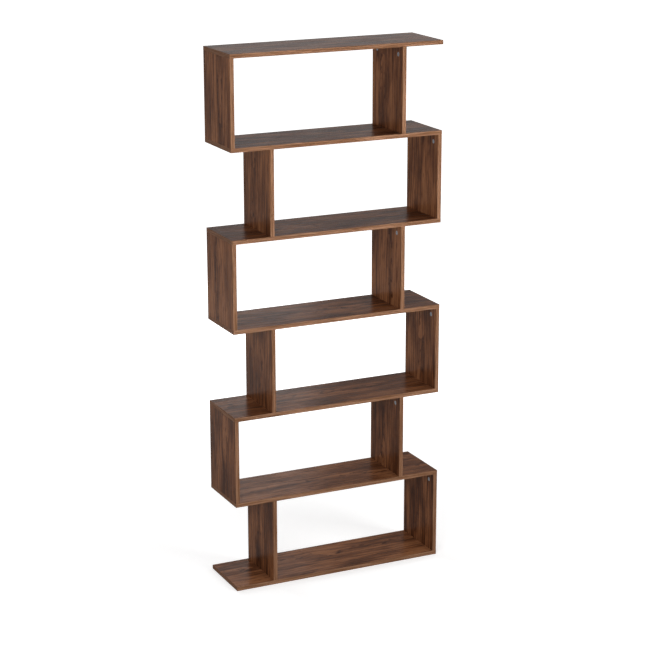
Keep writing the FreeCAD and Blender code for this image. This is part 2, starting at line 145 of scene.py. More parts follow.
class Nodes:
    """A node tree, with short ways to add nodes and join them."""

    def __init__(self, tree: bpy.types.NodeTree) -> None:
        """Start with the tree empty."""
        self.tree = tree
        tree.nodes.clear()

    def feed(self, entry: Socket, value: object) -> None:
        """Link a node's input to a socket, or set it to a value.

        Args:
            entry: The node's input.
            value: The socket or the value.
        """
        if isinstance(value, Socket):
            self.tree.links.new(value, entry)
        else:
            entry.default_value = value

    def add(self, kind: str, inputs: dict | None = None, **settings: object) -> bpy.types.Node:
        """Add a node.

        Args:
            kind: Node type without its ShaderNode prefix.
            inputs: Values or sockets for the node's inputs, by name or number.
            **settings: The node's own settings.

        Returns:
            The new node.
        """
        node = self.tree.nodes.new(f"ShaderNode{kind}")
        for setting, value in settings.items():
            setattr(node, setting, value)
        for key, value in (inputs or {}).items():
            self.feed(node.inputs[key], value)
        return node

    def maths(self, operation: str, *values: object) -> Socket:
        """The result of one step of arithmetic on numbers."""
        return self.add("Math", dict(enumerate(values)), operation=operation).outputs[0]

    def vector(self, operation: str, *values: object) -> Socket:
        """The result of one step of arithmetic on points."""
        return self.add("VectorMath", dict(enumerate(values)), operation=operation).outputs[0]

    def less(self, value: Socket, share: Socket) -> Socket:
        """A value less a share of itself."""
        return self.maths("MULTIPLY", value, self.maths("SUBTRACT", 1.0, share))

    def here(self) -> Socket:
        """The shaded point, in the object's own coordinates."""
        return self.add("TexCoord").outputs["Object"]

    def mapped(self, point: Socket, scale: Triple) -> Socket:
        """A point with its three coordinates scaled."""
        return self.add("Mapping", {"Vector": point, "Scale": scale}).outputs["Vector"]

    def noise(self, point: Socket, scale: Triple, detail: float = 2.0, roughness: float = 0.5,
              output: str = "Fac") -> Socket:
        """Soft noise over a point.

        Args:
            point: The point.
            scale: Waves a metre along each axis.
            detail: Layers of finer noise.
            roughness: How strong each layer is beside the one before.
            output: The output of the noise node that is used.

        Returns:
            The noise.
        """
        inputs = {
            "Vector": self.mapped(point, scale),
            "Scale": 1.0,
            "Detail": detail,
            "Roughness": roughness,
        }
        return self.add("TexNoise", inputs).outputs[output]

    def ramp(self, share: Socket, stops: Iterable[tuple[float, Colour]]) -> Socket:
        """A colour by a share.

        Args:
            share: The share.
            stops: The place and the colour of each stop, from the lowest up.

        Returns:
            The colour.
        """
        node = self.add("ValToRGB", {"Fac": share})
        elements = node.color_ramp.elements
        ready = len(elements)
        for number, (place, colour) in enumerate(stops):
            element = elements[number] if number < ready else elements.new(place)
            element.position = place
            element.color = rgba(colour)
        return node.outputs["Color"]

    def span(self, value: Socket, source: Span, target: Span = (0.0, 1.0)) -> Socket:
        """A value moved smoothly from one span to another, and held at its ends.

        Args:
            value: The value.
            source: The span that it comes from.
            target: The span that it goes to.

        Returns:
            The moved value.
        """
        inputs = {
            "Value": value,
            "From Min": source[0],
            "From Max": source[1],
            "To Min": target[0],
            "To Max": target[1],
        }
        return self.add("MapRange", inputs, interpolation_type="SMOOTHSTEP").outputs["Result"]

    def blend(self, share: Socket, first: Socket | Colour, second: Socket | Colour) -> Socket:
        """Two colours blended.

        Args:
            share: How much of the second colour there is.
            first: The first colour.
            second: The second colour.

        Returns:
            The blend.
        """
        node = self.add("Mix", {0: share}, data_type="RGBA")
        entries = [entry for entry in node.inputs if entry.type == "RGBA"]
        for entry, value in zip(entries, (first, second)):
            self.feed(entry, value if isinstance(value, Socket) else rgba(value))
        return next(socket for socket in node.outputs if socket.type == "RGBA")

    def bumped(self, height: Socket, strength: float, depth: float) -> Socket:
        """The surface's direction over fine relief of a depth."""
        inputs = {"Height": height, "Strength": strength, "Distance": depth}
        return self.add("Bump", inputs).outputs["Normal"]

    def background_rays(self) -> Socket:
        """1 for rays that look at the background straight, by gloss or through glass.

        Returns:
            1 or 0.
        """
        path = self.add("LightPath").outputs
        straight = self.maths("MAXIMUM", path["Is Camera Ray"], path["Is Glossy Ray"])
        return self.maths("MAXIMUM", straight, path["Is Transmission Ray"])


class Shader(Nodes):
    """A new material's nodes."""

    def __init__(self, name: str) -> None:
        """Start a material with an empty node tree.

        Args:
            name: The material's name.
        """
        self.material = bpy.data.materials.new(name)
        self.material.use_nodes = True
        super().__init__(self.material.node_tree)

    def close(self, inputs: dict) -> Material:
        """End the tree in a surface shader.

        Args:
            inputs: Values or sockets for the surface shader's inputs.

        Returns:
            The finished material.
        """
        surface = self.add("BsdfPrincipled", inputs)
        self.add("OutputMaterial", {"Surface": surface.outputs["BSDF"]})
        return self.material


@dataclass(frozen=True)
class WoodFigure:
    """A printed or real wood, with its colours in linear light and its scales in waves a metre."""

    dark: Colour
    middle: Colour
    light: Colour
    pore: Colour
    tone_stops: Triple = (0.27, 0.50, 0.75)
    seed_stride: float = 0.731
    wave_scale: Triple = (26.0, 26.0, 9.0)
    wave_depth: float = 9 * MILLIMETRE
    heart_scale: Triple = (9.0, 9.0, 1.7)
    heart_depth: Triple = (75 * MILLIMETRE, 60 * MILLIMETRE, 0.0)
    heart_swing: float = 34 * MILLIMETRE
    heart_turn: float = 2.4
    heart_start: float = 1.0
    ring_pitch: float = 13 * MILLIMETRE
    ring_depth: float = 52 * MILLIMETRE
    ring_wobble: float = 1.1
    ring_share: float = 0.25
    streak_scale: Triple = (115.0, 115.0, 7.0)
    streak_share: float = 0.25
    line_scale: Triple = (420.0, 420.0, 4.0)
    line_share: float = 0.16
    cloud_scale: Triple = (18.0, 18.0, 4.0)
    sheet_swing: float = 0.06
    sheet_turn: float = math.pi / 6
    # How far the end strips' tone is lowered: painted shade on the ends, which face sideways.
    end_painted_shade: float = 0.0
    flame_scale: Triple = (80.0, 80.0, 17.0)
    flame_span: Span = (0.56, 0.74)
    flame_strength: float = 0.32
    knot_scale: Triple = (75.0, 75.0, 34.0)
    knot_span: Span = (0.56, 0.71)
    knot_reach: float = 30 * MILLIMETRE
    knot_core: float = 12 * MILLIMETRE
    knot_strength: float = 0.55
    pore_scale: Triple = (950.0, 950.0, 60.0)
    pore_span: Span = (0.56, 0.70)
    pore_strength: float = 0.55
    pore_roughness: float = 0.25
    crowd_span: Span = (0.62, 0.38)
    crowd_least: float = 0.35
    roughness: float = 0.28
    roughness_swing: float = 0.05
    specular: float = 0.012
    bump: float = 0.12
    bump_depth: float = 0.15 * MILLIMETRE
    streak_relief: float = 0.35

    def material(self, name: str, middle: Vector, grain: Grain, seed: int,
                 end_start: float | None = None) -> Material:
        """Make this wood for one piece.

        Args:
            name: The material's name.
            middle: The piece's middle, which the pattern is centred on.
            grain: The way that the figure runs.
            seed: Shifts the pattern, so that no two pieces match.
            end_start: How far from the middle along X the end strips start, whose figure runs
                along Y and whose tone is lowered as painted shade. None where the piece has no
                such strips.

        Returns:
            The finished material.
        """
        shader = Shader(name)
        point = self._own_point(shader, middle, grain, seed)
        ends = None if end_start is None else self._past(shader, end_start)
        if ends is not None:
            crossways = self._own_point(shader, middle, Grain.ALONG_Y, seed)
            apart = shader.vector("SUBTRACT", crossways, point)
            point = shader.vector("MULTIPLY_ADD", apart, ends, point)
        wave = (self.wave_depth, self.wave_depth, 0.0)
        point = self._warped(shader, point, self.wave_scale, wave)
        heart = self._from_heart(shader, point, seed)
        streaks = shader.noise(point, self.streak_scale, detail=4.0, roughness=0.58)
        tone = self._tone(shader, point, heart, streaks)
        tone = shader.maths("ADD", tone, self._sheet_shift(seed))
        if ends is not None:
            # Painted shade: the end strips, which face sideways, are made darker than the front
            # bands.
            tone = shader.maths("MULTIPLY_ADD", ends, -self.end_painted_shade, tone)
        tone = shader.less(tone, self._flames(shader, point))
        tone = shader.less(tone, self._knots(shader, point, heart))
        pores = self._pores(shader, point, streaks)
        stops = zip(self.tone_stops, (self.dark, self.middle, self.light))
        raised = shader.maths("MULTIPLY", streaks, self.streak_relief)
        relief = shader.maths("SUBTRACT", raised, pores)
        return shader.close({
            "Base Color": shader.blend(pores, shader.ramp(tone, stops), self.pore),
            "Roughness": self._roughness(shader, streaks, pores),
            "Normal": shader.bumped(relief, self.bump, self.bump_depth),
            "Specular IOR Level": self.specular,
        })

    def _own_point(self, shader: Shader, middle: Vector, grain: Grain, seed: int) -> Socket:
        """A point in the piece's own frame: X through it, Y across and Z along its grain.

        Args:
            shader: The material's nodes.
            middle: The piece's middle.
            grain: The way that the figure runs.
            seed: Shifts the point along the grain.

        Returns:
            The point.
        """
        turn = grain.turn()
        rotation = Matrix.Rotation(turn[0], 3, "X") @ Matrix.Rotation(turn[1], 3, "Y")
        shift = Vector((0.0, 0.0, self.seed_stride * seed))
        inputs = {"Vector": shader.here(), "Location": shift - rotation @ middle, "Rotation": turn}
        return shader.add("Mapping", inputs).outputs["Vector"]

    def _past(self, shader: Shader, distance: float) -> Socket:
        """1 where a point is farther than a distance from the middle along X, and 0 elsewhere."""
        x = shader.add("SeparateXYZ", {"Vector": shader.here()}).outputs["X"]
        return shader.maths("GREATER_THAN", shader.maths("ABSOLUTE", x), distance)

    def _warped(self, shader: Shader, point: Socket, scale: Triple, depth: Triple) -> Socket:
        """A point that noise has moved by up to half a depth each way.

        Args:
            shader: The material's nodes.
            point: The point.
            scale: Waves a metre along each axis.
            depth: The whole swing along each axis.

        Returns:
            The moved point.
        """
        warp = shader.noise(point, scale, detail=2.5, output="Color")
        centred = shader.vector("SUBTRACT", warp, (0.5, 0.5, 0.5))
        return shader.vector("MULTIPLY_ADD", centred, depth, point)

    def _from_heart(self, shader: Shader, point: Socket, seed: int) -> Socket:
        """A point as seen from the heart of the log, which lies behind the board's face.

        Args:
            shader: The material's nodes.
            point: The point.
            seed: Moves the heart across the board.

        Returns:
            The point from the heart.
        """
        moved = self._warped(shader, point, self.heart_scale, self.heart_depth)
        across = self.heart_swing * math.sin(self.heart_turn * seed + self.heart_start)
        inputs = {"Vector": moved, "Location": (self.ring_depth, across, 0.0)}
        return shader.add("Mapping", inputs).outputs["Vector"]

    def _tone(self, shader: Shader, point: Socket, heart: Socket, streaks: Socket) -> Socket:
        """How light the wood is, from its growth rings, streaks, fine lines and clouds.

        Args:
            shader: The material's nodes.
            point: The point.
            heart: The point from the heart.
            streaks: The streaks.

        Returns:
            The tone, from 0 to 1.
        """
        rings = shader.add("TexWave", {
            "Vector": heart,
            "Scale": 2 * math.pi / WAVE_RADIANS / self.ring_pitch,
            "Distortion": self.ring_wobble,
            "Detail": 2.0,
            "Detail Scale": 0.8,
            "Detail Roughness": 0.5,
        }, wave_type="RINGS", rings_direction="Z", wave_profile="SAW").outputs["Fac"]
        clouds = shader.noise(point, self.cloud_scale, detail=3.0)
        lines = shader.noise(point, self.line_scale, detail=3.0, roughness=0.6)
        cloud_share = 1.0 - self.ring_share - self.streak_share - self.line_share
        tone = shader.maths("MULTIPLY", rings, self.ring_share)
        parts = ((streaks, self.streak_share), (lines, self.line_share), (clouds, cloud_share))
        for part, share in parts:
            tone = shader.maths("MULTIPLY_ADD", shader.span(part, NOISE_SPAN), share, tone)
        return tone

    def _sheet_shift(self, seed: int) -> float:
        """How much lighter one piece's sheet of decor is than the mean."""
        return self.sheet_swing * math.sin(self.sheet_turn * seed - math.pi / 2)

    def _flames(self, shader: Shader, point: Socket) -> Socket:
        """Dark flames along the grain."""
        flames = shader.noise(point, self.flame_scale, detail=3.0, roughness=0.6)
        return shader.span(flames, self.flame_span, (0.0, self.flame_strength))

    def _knots(self, shader: Shader, point: Socket, heart: Socket) -> Socket:
        """Small dark pin knots, which keep near the line of the arches' tips.

        Args:
            shader: The material's nodes.
            point: The point.
            heart: The point from the heart.

        Returns:
            How dark the knots are.
        """
        across = shader.maths("ABSOLUTE", shader.add("SeparateXYZ", {0: heart}).outputs["Y"])
        near = shader.span(across, (self.knot_reach, self.knot_core))
        spots = shader.span(shader.noise(point, self.knot_scale), self.knot_span)
        return shader.maths("MULTIPLY", shader.maths("MULTIPLY", spots, near),
                            self.knot_strength)

    def _pores(self, shader: Shader, point: Socket, streaks: Socket) -> Socket:
        """Short dark pores along the grain, thicker where the streaks are dark.

        Args:
            shader: The material's nodes.
            point: The point.
            streaks: The streaks.

        Returns:
            How dark the pores are.
        """
        share = shader.span(shader.noise(point, self.pore_scale, detail=1.0), self.pore_span)
        crowd = shader.span(streaks, self.crowd_span, (self.crowd_least, 1.0))
        strength = shader.maths("MULTIPLY", share, crowd)
        return shader.maths("MULTIPLY", strength, self.pore_strength)

    def _roughness(self, shader: Shader, streaks: Socket, pores: Socket) -> Socket:
        """Roughness that varies a little with the streaks and is higher in the pores.

        Args:
            shader: The material's nodes.
            streaks: The streaks.
            pores: The pores.

        Returns:
            The roughness.
        """
        low, high = self.roughness - self.roughness_swing, self.roughness + self.roughness_swing
        base = shader.span(streaks, NOISE_SPAN, (high, low))
        return shader.maths("MULTIPLY_ADD", pores, self.pore_roughness, base)


@dataclass(frozen=True)
class Metal:
    """A plain metal with fine unevenness in its gloss and surface."""

    name: str
    colour: Colour
    shade: Colour
    roughness: float
    glossier: float = 0.06
    duller: float = 0.08
    grain_scale: float = 900.0
    cloud_scale: float = 120.0
    bump: float = 0.15
    bump_depth: float = 0.03 * MILLIMETRE

    def material(self) -> Material:
        """Make this metal.

        Returns:
            The finished material.
        """
        shader = Shader(self.name)
        point = shader.here()
        mottle = shader.noise(point, (self.grain_scale,) * 3, detail=3.0)
        cloud = shader.span(shader.noise(point, (self.cloud_scale,) * 3), NOISE_SPAN)
        gloss = (self.roughness - self.glossier, self.roughness + self.duller)
        return shader.close({
            "Base Color": shader.blend(cloud, self.colour, self.shade),
            "Metallic": 1.0,
            "Roughness": shader.span(mottle, NOISE_SPAN, gloss),
            "Normal": shader.bumped(mottle, self.bump, self.bump_depth),
        })


WALNUT = WoodFigure(
    dark=linear(65, 36, 21),
    middle=linear(106, 65, 41),
    light=linear(144, 96, 64),
    pore=linear(43, 25, 16),
)
BAND = WoodFigure(
    dark=linear(107, 73, 51),
    middle=linear(127, 92, 69),
    light=linear(146, 109, 84),
    pore=linear(84, 55, 37),
    ring_share=0.10,
    flame_strength=0.2,
    sheet_swing=0.02,
    wave_depth=2 * MILLIMETRE,
    knot_strength=0.0,
    streak_scale=(420.0, 420.0, 7.0),
    streak_share=0.60,
    pore_strength=0.45,
    # The end strips of the bands are darkened as painted shade.
    end_painted_shade=0.22,
    roughness=0.4,
    specular=0.013,
    bump=0.08,
)
BEECH = WoodFigure(
    dark=linear(176, 138, 98),
    middle=linear(200, 164, 122),
    light=linear(219, 187, 148),
    pore=linear(140, 104, 70),
    ring_share=0.15,
    wave_depth=1 * MILLIMETRE,
    knot_strength=0.0,
    streak_scale=(600.0, 600.0, 30.0),
    roughness=0.6,
    bump=0.3,
)
ZINC = Metal("zinc", colour=linear(124, 125, 129), shade=linear(102, 103, 107), roughness=0.40)
STEEL = Metal("steel", colour=linear(196, 198, 202), shade=linear(178, 182, 188), roughness=0.24)


def dress(node: str, material: Material, slot: Slot) -> None:
    """Give a CAD node one material.

    Args:
        node: The node's name.
        material: What it is dressed in.
        slot: Not used.
    """
    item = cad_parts[node]
    item.data.materials.clear()
    item.data.materials.append(material)
    log.info("dressed %s in %s", node, material.name)


def middle_of(node: str) -> Vector:
    """The middle of a CAD node's box."""
    low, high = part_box(node)
    return (low + high) / 2


@dataclass
class Boards:
    """The shelves and uprights, each in its own cut of the walnut decor."""

    finish: WoodFigure = WALNUT
    sides: tuple[str, str] = ("left", "right")

    def build(self) -> None:
        """Dress every shelf with figure along it and every upright with figure up it."""
        for number in range(1, SHELVES + 1):
            self._dress(f"shelf_{number}", Grain.ALONG_X, SHELF_SEEDS + number)
        for tier in range(1, TIERS + 1):
            for turn, side in enumerate(self.sides):
                seed = UPRIGHT_SEEDS + len(self.sides) * tier + turn
                self._dress(f"tier_{tier}_{side}_upright", Grain.ALONG_Z, seed)

    def _dress(self, node: str, grain: Grain, seed: int) -> None:
        """Dress one board."""
        material = self.finish.material(f"walnut_{node}", middle_of(node), grain, seed)
        dress(node, material, Slot.WALNUT)


@dataclass
class EdgeBands:
    """The lighter bands on the boards' edges."""

    finish: WoodFigure = BAND

    def build(self) -> None:
        """Dress the bands of the shelves and of the uprights."""
        for number in range(1, SHELVES + 1):
            node = f"shelf_{number}_edge_bands"
            board_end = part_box(f"shelf_{number}")[1].x
            self._dress(node, Grain.ALONG_X, SHELF_BAND_SEEDS + number, board_end)
        for tier in range(1, TIERS + 1):
            node = f"tier_{tier}_upright_edge_bands"
            self._dress(node, Grain.ALONG_Z, UPRIGHT_BAND_SEEDS + tier)

    def _dress(self, node: str, grain: Grain, seed: int, end_start: float | None = None) -> None:
        """Dress one group of bands."""
        material = self.finish.material(f"band_{node}", middle_of(node), grain, seed, end_start)
        dress(node, material, Slot.BAND)


def alone(item: Item) -> None:
    """Make an object the only one selected, and the active one.

    Args:
        item: The object.
    """
    bpy.ops.object.select_all(action="DESELECT")
    item.select_set(True)
    bpy.context.view_layer.objects.active = item


def named(name: str) -> Item:
    """Name the object that an operator has just added, and put its place in its mesh.

    Args:
        name: The object's name.

    Returns:
        The object.
    """
    item = bpy.context.object
    item.name = item.data.name = name
    alone(item)
    bpy.ops.object.transform_apply(location=True, rotation=True, scale=True)
    return item


def turned(name: str, rings: list[tuple[float, float]], sides: int = 48) -> Item:
    """Turn a closed shape round Z, ring by ring.

    Args:
        name: The object's name.
        rings: Radius and height of each ring, from the first end to the last.
        sides: Flat sides round the axis.

    Returns:
        The shape, with its place in its mesh.
    """
    bpy.ops.object.select_all(action="DESELECT")
    radius, height = rings[0]
    bpy.ops.mesh.primitive_circle_add(vertices=sides, radius=radius, fill_type="NGON",
                                      location=(0.0, 0.0, height))
    item = named(name)
    bpy.ops.object.mode_set(mode="EDIT")
    bpy.ops.mesh.select_mode(type="FACE")
    bpy.ops.mesh.select_all(action="SELECT")
    for new_radius, new_height in rings[1:]:
        step = (0.0, 0.0, new_height - height)
        bpy.ops.mesh.extrude_region_move(TRANSFORM_OT_translate={"value": step})
        share = new_radius / radius
        bpy.ops.transform.resize(value=(share, share, 1.0))
        radius, height = new_radius, new_height
    bpy.ops.mesh.select_all(action="SELECT")
    bpy.ops.mesh.normals_make_consistent(inside=False)
    bpy.ops.object.mode_set(mode="OBJECT")
    return item


def block(name: str, middle: Triple, extent: Triple) -> Item:
    """A straight-sided cutter.

    Args:
        name: The cutter's name.
        middle: Its middle.
        extent: Its length along each axis.

    Returns:
        The cutter.
    """
    bpy.ops.object.select_all(action="DESELECT")
    bpy.ops.mesh.primitive_cube_add(size=1.0, location=middle, scale=extent)
    return named(name)


def prism(name: str, sides: int, radius: float, middle: Triple, height: float) -> Item:
    """A prism-shaped cutter that stands along Z.

    Args:
        name: The cutter's name.
        sides: Its flat sides.
        radius: From its middle to its corners.
        middle: Its middle.
        height: Its height.

    Returns:
        The cutter.
    """
    bpy.ops.object.select_all(action="DESELECT")
    bpy.ops.mesh.primitive_cylinder_add(vertices=sides, radius=radius, depth=height,
                                        location=middle)
    return named(name)


def cut(item: Item, cutters: Iterable[Item]) -> None:
    """Cut shapes out of an object, and remove them.

    Args:
        item: The object.
        cutters: The shapes.
    """
    for cutter in cutters:
        alone(item)
        bpy.ops.object.modifier_add(type="BOOLEAN")
        modifier = item.modifiers[-1]
        modifier.operation = "DIFFERENCE"
        modifier.solver = "EXACT"
        modifier.object = cutter
        bpy.ops.object.modifier_apply(modifier=modifier.name)
        bpy.data.objects.remove(cutter)


def thread(name: str, radius: float, ridge: float, pitch: float, span: Span) -> Item:
    """A helical ridge round Z.

    Args:
        name: The object's name.
        radius: Radius of the core that carries the ridge.
        ridge: How far the ridge stands out.
        pitch: Rise in one turn.
        span: Lowest and highest level of the ridge.

    Returns:
        The ridge, closed at both ends.
    """
    bpy.ops.object.select_all(action="DESELECT")
    size = ridge / (1 + SECTION_STAND)
    place = (radius + SECTION_STAND * size, 0.0, span[0] + size)
    bpy.ops.mesh.primitive_circle_add(vertices=3, radius=size, location=place,
                                      rotation=(math.pi / 2, math.pi / 2, 0.0))
    item = named(name)
    bpy.ops.object.modifier_add(type="SCREW")
    modifier = item.modifiers[-1]
    modifier.axis = "Z"
    modifier.screw_offset = pitch
    modifier.iterations = int((span[1] - span[0] - 2 * size) / pitch)
    modifier.steps = modifier.render_steps = THREAD_STEPS
    bpy.ops.object.modifier_apply(modifier=modifier.name)
    bpy.ops.object.mode_set(mode="EDIT")
    bpy.ops.mesh.select_all(action="SELECT")
    bpy.ops.mesh.fill_holes(sides=3)
    bpy.ops.mesh.normals_make_consistent(inside=False)
    bpy.ops.object.mode_set(mode="OBJECT")
    return item


def joined(items: list[Item], name: str) -> Item:
    """Join objects into one.

    Args:
        items: The objects.
        name: The joined object's name.

    Returns:
        The joined object.
    """
    alone(items[0])
    for item in items:
        item.select_set(True)
    bpy.ops.object.join()
    items[0].name = items[0].data.name = name
    return items[0]


def soften(item: Item, width: float) -> None:
    """Round an object's sharp edges a little, and shade it smooth between them.

    Args:
        item: The object.
        width: Width of the rounding.
    """
    alone(item)
    bpy.ops.object.modifier_add(type="BEVEL")
    modifier = item.modifiers[-1]
    modifier.width = width
    modifier.segments = 2
    modifier.limit_method = "ANGLE"
    modifier.angle_limit = BEVEL_ANGLE
    bpy.ops.object.modifier_apply(modifier=modifier.name)
    bpy.ops.object.mode_set(mode="EDIT")
    bpy.ops.mesh.select_all(action="SELECT")
    bpy.ops.mesh.dissolve_degenerate(threshold=SLIVER)
    bpy.ops.object.mode_set(mode="OBJECT")
    bpy.ops.object.shade_smooth_by_angle(angle=BEVELLED_ANGLE)


@dataclass(frozen=True)
class Tier:
    """One tier's number and the places that its fittings share."""

    number: int
    uprights: tuple[float, float]
    fitting_y: float
    cam_level: float
    ceiling: float

    @classmethod
    def of(cls, number: int) -> "Tier":
        """Read a tier's places from the frame.

        Args:
            number: The tier's number, from the floor up.

        Returns:
            The tier.
        """
        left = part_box(f"tier_{number}_left_upright")
        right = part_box(f"tier_{number}_right_upright")
        low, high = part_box(f"tier_{number}_cam_discs")
        return cls(
            number=number,
            uprights=((left[0].x + left[1].x) / 2, (right[0].x + right[1].x) / 2),
            fitting_y=high.y - (high.z - low.z) / 2,
            cam_level=(low.z + high.z) / 2,
            ceiling=left[1].z,
        )

    def node(self, kind: str) -> str:
        """The name of the tier's node of one kind."""
        return f"tier_{self.number}_{kind}"

    def fitting_ys(self) -> tuple[float, float]:
        """Where the front and the rear fittings stand."""
        return -self.fitting_y, self.fitting_y

    def in_uprights(self, level: float, ys: Iterable[float]) -> list[Matrix]:
        """Places in the middle of both uprights, at one level and given Y."""
        return [Matrix.Translation((x, y, level)) for x in self.uprights for y in ys]


@dataclass
class Fitting:
    """A fitting that is modelled once, on the Z axis, and copied into every tier."""

    kind: str = ""
    slot: Slot = Slot.STEEL
    metal: Metal = STEEL

    def model(self) -> Item:
        """Model one fitting."""
        raise NotImplementedError

    def places(self, tier: Tier) -> list[Matrix]:
        """Where a tier's copies go."""
        raise NotImplementedError

    def material(self, tier: Tier) -> Material:
        """The metal that the copies in all tiers share, made once."""
        return bpy.data.materials.get(self.metal.name) or self.metal.material()

    def build(self, tiers: list[Tier]) -> None:
        """Model the fitting, copy it to its places and put it in for the CAD's plain ones.

        Args:
            tiers: The tiers that hold the fitting.
        """
        pattern = self.model()
        for tier in tiers:
            copies = []
            for place in self.places(tier):
                copy = pattern.copy()
                copy.data = pattern.data.copy()
                copy.data.transform(place)
                bpy.context.scene.collection.objects.link(copy)
                copies.append(copy)
            node = tier.node(self.kind)
            group = joined(copies, f"{node}_set")
            group.data.materials.clear()
            group.data.materials.append(self.material(tier))
            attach(group, BODY)
            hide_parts(node)
            log.info("fitted %s, %d faces", group.name, len(group.data.polygons))
        bpy.data.objects.remove(pattern)


@dataclass
class CamDiscs(Fitting):
    """Die-cast cams whose faces lie just inside the uprights' inner faces."""

    kind: str = "cam_discs"
    slot: Slot = Slot.ZINC
    metal: Metal = ZINC
    radius: float = 7.35 * MILLIMETRE
    depth: float = 12 * MILLIMETRE
    rim: float = 0.9 * MILLIMETRE
    dish: float = 0.35 * MILLIMETRE
    boss: float = 3.6 * MILLIMETRE
    drive_length: float = 9.0 * MILLIMETRE
    cross_length: float = 5.58 * MILLIMETRE
    drive_width: float = 1.5 * MILLIMETRE
    drive_depth: float = 2.0 * MILLIMETRE
    pointer: float = 1.1 * MILLIMETRE
    pointer_inset: float = 2.3 * MILLIMETRE
    pointer_depth: float = 1.0 * MILLIMETRE
    bolt_depth: float = 7.3 * MILLIMETRE
    slot_width: float = 4.2 * MILLIMETRE
    chamber_width: float = 7.2 * MILLIMETRE
    chamber_low: float = 2.2 * MILLIMETRE
    chamber_high: float = 5.5 * MILLIMETRE
    rounding: float = 0.12 * MILLIMETRE

    def model(self) -> Item:
        """A rimmed face with a cross slot and a pointer, over a body that grips the bolt.

        Returns:
            The disc, with its face at height 0.
        """
        inside = self.radius - self.rim
        disc = turned("cam", [
            (self.radius, -self.depth),
            (self.radius, 0.0),
            (inside, 0.0),
            (inside, -self.dish),
            (self.boss, -self.dish),
            (self.boss, 0.0),
        ])
        face = (0.0, 0.0, 0.0)
        cutter_depth = 2 * self.drive_depth
        slot_middle = (self.chamber_low + self.radius) / 2 + OVERCUT
        chamber_middle = (self.chamber_low + self.chamber_high) / 2
        cut(disc, (
            block("drive_slot", face, (self.drive_length, self.drive_width, cutter_depth)),
            block("cross_slot", face, (self.drive_width, self.cross_length, cutter_depth)),
            prism("pointer", 3, self.pointer, (0.0, self.radius - self.pointer_inset, 0.0),
                  2 * self.pointer_depth),
            block("bolt_slot", (0.0, slot_middle, -self.bolt_depth),
                  (self.slot_width, self.radius + OVERCUT, self.slot_width)),
            block("head_chamber", (self.chamber_width / 2, chamber_middle, -self.bolt_depth),
                  (2 * self.chamber_width, self.chamber_high - self.chamber_low,
                   self.chamber_width)),
        ))
        soften(disc, self.rounding)
        return disc

    def places(self, tier: Tier) -> list[Matrix]:
        """Faces turned to the tier's middle, pointers up.

        Args:
            tier: The tier.

        Returns:
            The four discs' places.
        """
        found = []
        low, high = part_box(tier.node(self.kind))
        for side, face in ((-1, low.x + self.depth), (1, high.x - self.depth)):
            # The disc's own Y goes up, and its own Z goes to the tier's middle.
            turn = Matrix(((0, 0, -side, 0), (-side, 0, 0, 0), (0, 1, 0, 0), (0, 0, 0, 1)))
            for y in tier.fitting_ys():
                found.append(Matrix.Translation((face, y, tier.cam_level)) @ turn)
        return found


@dataclass
class CamBolts(Fitting):
    """Bolts from the shelf above, with a neck and a head in each cam."""

    kind: str = "cam_bolts"
    head: float = 3.3 * MILLIMETRE
    head_height: float = 2.8 * MILLIMETRE
    head_drop: float = 26.3 * MILLIMETRE
    neck: float = 1.8 * MILLIMETRE
    neck_drop: float = 21.2 * MILLIMETRE
    collar: float = 3.05 * MILLIMETRE
    edge: float = 0.5 * MILLIMETRE
    core: float = 2.3 * MILLIMETRE
    ridge: float = 0.65 * MILLIMETRE
    pitch: float = 1.6 * MILLIMETRE
    reach: float = 10 * MILLIMETRE
    tip: float = 1.15 * MILLIMETRE
    tip_height: float = 1 * MILLIMETRE
    sides: int = 32

    def model(self) -> Item:
        """A bolt that hangs from the shelf's underside.

        Returns:
            The bolt, with the underside at height 0.
        """
        head_top = self.head_height - self.head_drop
        body = turned("bolt", [
            (self.head - self.edge, -self.head_drop),
            (self.head, self.edge - self.head_drop),
            (self.head, head_top - self.edge),
            (self.neck, head_top),
            (self.neck, -self.neck_drop),
            (self.collar, self.edge - self.neck_drop),
            (self.collar, -self.edge),
            (self.core, 0.0),
            (self.core, self.reach - self.tip_height),
            (self.tip, self.reach),
        ], sides=self.sides)
        ridge = thread("bolt_thread", self.core, self.ridge, self.pitch, (0.0, self.reach))
        return joined([body, ridge], "bolt")

    def places(self, tier: Tier) -> list[Matrix]:
        """Down from the underside of the shelf above."""
        return tier.in_uprights(tier.ceiling, tier.fitting_ys())


